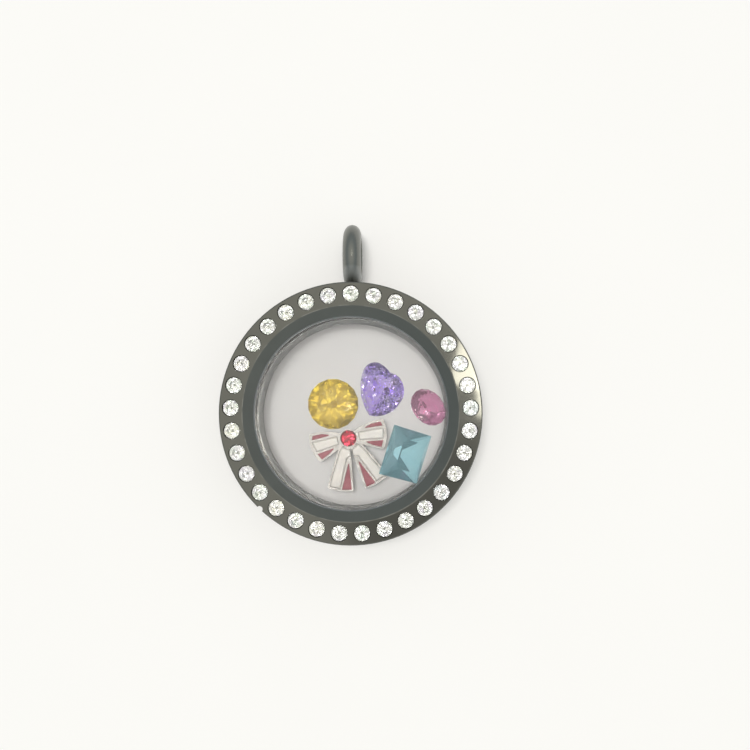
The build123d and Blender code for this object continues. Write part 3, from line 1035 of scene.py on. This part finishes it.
def add_surroundings(stage):
    """Pale room that is brighter overhead than at its foot."""
    world = bpy.data.worlds.new("pale_room")
    bpy.context.scene.world = world
    world.use_nodes = True
    tree = world.node_tree
    background = tree.nodes["Background"]
    direction = add_node(tree, "ShaderNodeTexCoord", (-900, 0)).outputs["Generated"]
    path = add_node(tree, "ShaderNodeLightPath", (-400, -500)).outputs
    split = add_node(tree, "ShaderNodeSeparateXYZ", (-700, 0))
    feed(tree, direction, split.inputs["Vector"])
    room = ramp(tree, (-400, 0), split.outputs["Z"], ROOM_TONES)
    # A dim patch of ceiling, which the lower right of the rim mirrors
    middle = Vector((*stage.dim_slope, 1.0)).normalized()
    toward = vector_node(tree, (-700, -300), "DOT_PRODUCT", direction, middle)
    patch = add_node(
        tree, "ShaderNodeMapRange", (-500, -300), interpolation_type="SMOOTHSTEP",
        in_From_Min=math.cos(DIM_START), in_From_Max=math.cos(DIM_FULL), in_To_Max=DIM_SHARE,
    )
    feed(tree, toward, patch.inputs["Value"])
    mirrored = math_node(
        tree, (-300, -300), "MULTIPLY", patch.outputs["Result"], path["Is Glossy Ray"]
    )
    color = mix(tree, (-100, 0), "RGBA", mirrored, room, grey(0))
    feed(tree, color, background.inputs["Color"])
    matt_change = stage.sky * (stage.matt_share - 1.0)
    spread = math_node(
        tree, (-100, -400), "MULTIPLY_ADD", path["Is Diffuse Ray"], matt_change, stage.sky
    )
    # Matt surfaces behind glass already get the room's light through its faint shadow
    glazed_change = stage.sky * (stage.glazed_share - 1.0)
    behind = math_node(
        tree, (-200, -600), "MULTIPLY", path["Is Transmission Ray"], path["Diffuse Depth"],
        clamp=True,
    )
    strength = math_node(tree, (0, -500), "MULTIPLY_ADD", behind, glazed_change, spread)
    feed(tree, strength, background.inputs["Strength"])


def add_light(name, place, aim, size, power, color, shape="RECTANGLE"):
    """Area light that faces its aim."""
    light = bpy.data.lights.new(name, "AREA")
    light.shape = shape
    light.size, light.size_y = size
    light.energy = power
    light.color = color
    obj = bpy.data.objects.new(name, light)
    obj.location = place
    obj.rotation_euler = (Vector(aim) - Vector(place)).to_track_quat("-Z", "Y").to_euler()
    bpy.context.scene.collection.objects.link(obj)
    return obj


def sparkle_only(light):
    """Keeps a light out of what matt surfaces see through glass."""
    light.use_nodes = True
    tree = light.node_tree
    path = add_node(tree, "ShaderNodeLightPath", (-600, 0)).outputs
    seen = math_node(tree, (-300, 0), "SUBTRACT", 1.0, path["Diffuse Depth"], clamp=True)
    feed(tree, seen, tree.nodes["Emission"].inputs["Strength"])


def add_cards(power):
    """Two cards that the right of the flat rim mirrors, the far one as a step by the near one."""
    near = (0.0425, 0.0275, 0.3)
    far = (0.0495, 0.0195, 0.301)
    below_near, below_far = (*near[:2], 0.0), (*far[:2], 0.0)
    card = add_light("near_card", near, below_near, (0.028, 0.027), power, (1.0, 0.95, 0.85))
    card.rotation_euler.rotate_axis("Z", math.radians(-13.5))
    add_light("far_card", far, below_far, (0.024, 0.032), power, (1.0, 0.96, 0.86))


def add_sparks(count, power, aim):
    """Small round lights that sparkle in the stones, the glass and the charms."""
    sparkling = bpy.data.collections.new("sparkling")
    for name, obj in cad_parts.items():
        if any(word in name for word in SPARKLING):
            sparkling.objects.link(obj)
    size = (SPARK_SIZE, SPARK_SIZE)
    for number in range(count):
        around = SPARK_START + number * SPARK_TURN
        up = SPARK_HEIGHTS[number % len(SPARK_HEIGHTS)]
        flat = math.cos(up)
        way = Vector((math.cos(around) * flat, math.sin(around) * flat, math.sin(up)))
        place = SPARK_DISTANCE * way
        spark = add_light(
            f"spark_{number + 1}", place, aim, size, power, (1.0, 1.0, 1.0), "ELLIPSE"
        )
        spark.visible_diffuse = False
        spark.light_linking.receiver_collection = sparkling
        sparkle_only(spark.data)


def add_lights(stage):
    """Large soft key light, cards that shine in the rim and small sparkle lights."""
    centre = (0.0, 0.0, 0.0)
    place = (-0.055, 0.04, 1.0)
    warm = (1.0, 0.975, 0.95)
    key = add_light("key_light", place, centre, (0.2, 0.32), stage.key_power, warm)
    key.visible_glossy = key.visible_transmission = False
    add_cards(stage.card_power)
    add_sparks(stage.spark_count, stage.spark_power, centre)


def add_camera(stage):
    """Camera at the photograph's viewing angle."""
    data = bpy.data.cameras.new("camera")
    data.sensor_width = SENSOR
    data.lens = CAMERA_FOCUS_PX / PHOTO_PX * SENSOR
    data.clip_start = 1.0 * MM
    data.clip_end = 10.0
    data.shift_x, data.shift_y = stage.camera_shift
    camera = bpy.data.objects.new("camera", data)
    camera.location = stage.camera_place
    bpy.context.scene.collection.objects.link(camera)
    bpy.context.scene.camera = camera


# Panel and registration

# The operators in their order, each with the settings that the panel lists below it
STEPS = [
    ("case", ("locket_finish",)),
    ("windows", ()),
    ("rim_stones", ("locket_foils",)),
    ("crystals", ("locket_crystals",)),
    ("bow", ()),
    ("stage", ("locket_stage",)),
]


class LOCKET_PT_panel(bpy.types.Panel):
    """Steps that dress the locket"""

    bl_idname = "LOCKET_PT_panel"
    bl_label = "Floating locket"
    bl_space_type = "VIEW_3D"
    bl_region_type = "UI"
    bl_category = "Locket"

    def draw(self, context):
        layout = self.layout
        for name, groups in STEPS:
            layout.operator(f"locket.{name}")
            for group in groups:
                settings = getattr(context.scene, group)
                box = layout.box()
                for key in settings.__annotations__:
                    box.prop(settings, key)


SETTINGS = {
    "locket_finish": LocketFinish,
    "locket_crystals": LocketCrystals,
    "locket_foils": LocketFoils,
    "locket_stage": LocketStage,
}

CLASSES = (
    *SETTINGS.values(),
    LOCKET_OT_case,
    LOCKET_OT_windows,
    LOCKET_OT_rim_stones,
    LOCKET_OT_crystals,
    LOCKET_OT_bow,
    LOCKET_OT_stage,
    LOCKET_PT_panel,
)


def register():
    for cls in CLASSES:
        bpy.utils.register_class(cls)
    for name, cls in SETTINGS.items():
        setattr(bpy.types.Scene, name, PointerProperty(type=cls))


def unregister():
    for name in SETTINGS:
        delattr(bpy.types.Scene, name)
    for cls in reversed(CLASSES):
        bpy.utils.unregister_class(cls)


def main():
    register()
    for name, _ in STEPS:
        getattr(bpy.ops.locket, name)()


if __name__ == "__main__":
    main()
